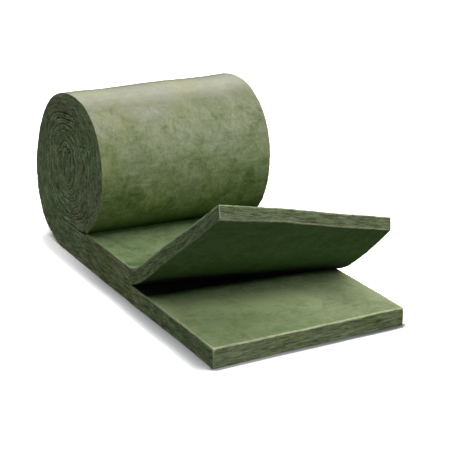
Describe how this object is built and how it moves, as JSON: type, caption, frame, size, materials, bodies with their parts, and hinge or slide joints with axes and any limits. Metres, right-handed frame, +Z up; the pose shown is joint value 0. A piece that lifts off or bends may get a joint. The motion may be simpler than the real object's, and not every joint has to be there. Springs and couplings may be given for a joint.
{
  "type": "insulation roll",
  "caption": "Roll of green mineral wool insulation lying on its side, with its free end unrolled flat and split into a lower layer and a raised upper flap.",
  "frame": {"origin": "on the floor, under the middle of the whole object", "axes": "+X runs from the roll towards the free end of the mat, +Y runs across the mat along the roll's axis, +Z is up"},
  "size_m": [1.277, 0.6, 0.5419],
  "materials": {
    "mineral_wool": "matt, fibrous mineral wool"
  },
  "bodies": {
    "root": {"wool_mat": "mineral_wool"}
  },
  "joints": []
}
